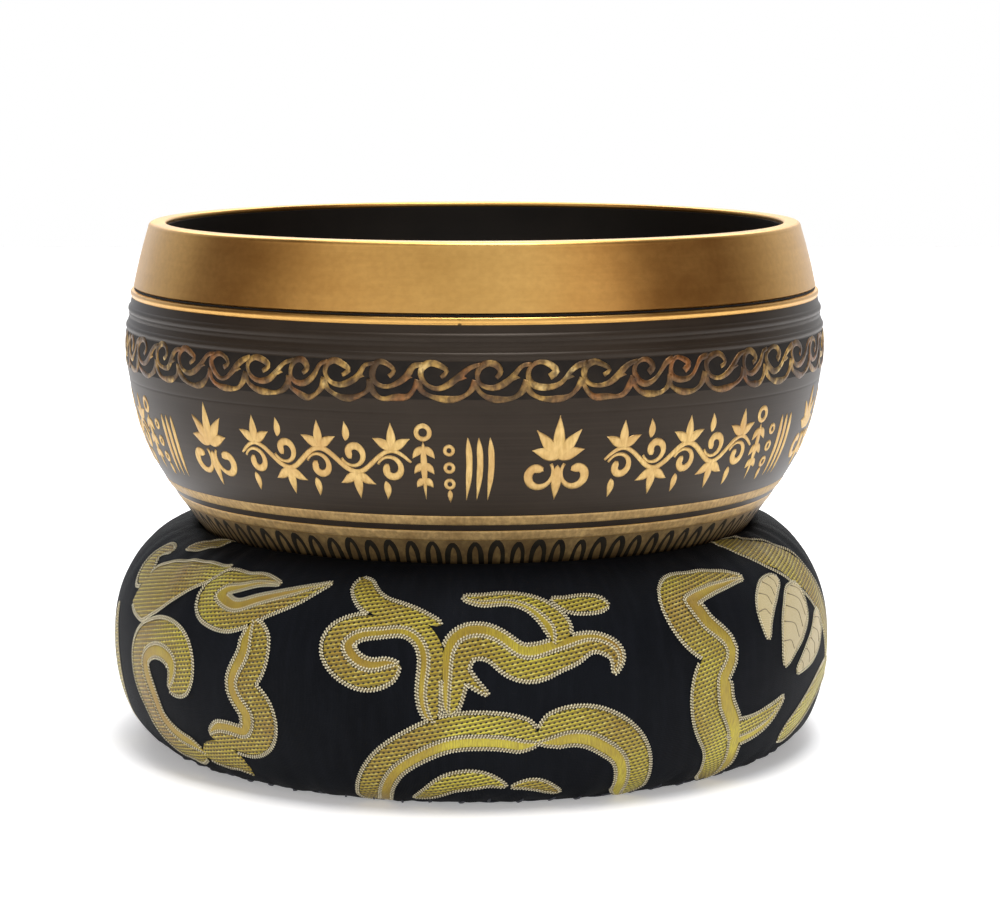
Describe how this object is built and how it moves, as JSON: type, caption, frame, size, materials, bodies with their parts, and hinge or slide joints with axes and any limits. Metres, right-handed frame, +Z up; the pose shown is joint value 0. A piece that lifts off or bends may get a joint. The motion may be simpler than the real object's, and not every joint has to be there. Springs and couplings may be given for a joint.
{
  "type": "singing bowl",
  "caption": "Turned brass singing bowl with a dark lacquered, ornamented wall, resting in the dent of a stuffed brocade ring cushion and free to lift off it.",
  "frame": {"origin": "on the table, at the centre of the cushion's underside", "axes": "+Z up along the bowl's axis; the cushion's sewn join is at the back, on +Y; -Y is the front"},
  "size_m": [0.1576, 0.1582, 0.113],
  "materials": {
    "polished_brass": "turned and softly polished",
    "dark_lacquer": "thin glossy brown-black lacquer",
    "inside_lacquer": "satin brown-black lacquer",
    "navy_gold_brocade": "navy satin ground with woven gold motifs",
    "navy_cotton": "plain weave cotton",
    "cotton_wadding": "loose cotton stuffing",
    "sewing_thread": "navy sewing thread"
  },
  "bodies": {
    "cushion": {"brocade_cover": "navy_gold_brocade", "base_cloth": "navy_cotton", "filling_ring": "cotton_wadding", "outer_seam_stitches": "sewing_thread", "inner_seam_stitches": "sewing_thread", "back_seam_stitches": "sewing_thread"},
    "bowl": {"bowl_shell": "polished_brass", "wall_lacquer": "dark_lacquer", "foot_line_lacquer": "dark_lacquer", "base_lacquer": "dark_lacquer", "inside_lacquer": "inside_lacquer"}
  },
  "joints": [
    {"name": "bowl_lift", "type": "slide", "parent": "cushion", "child": "bowl", "axis": [0, 0, 1], "range_m": [0, 0.06]}
  ]
}
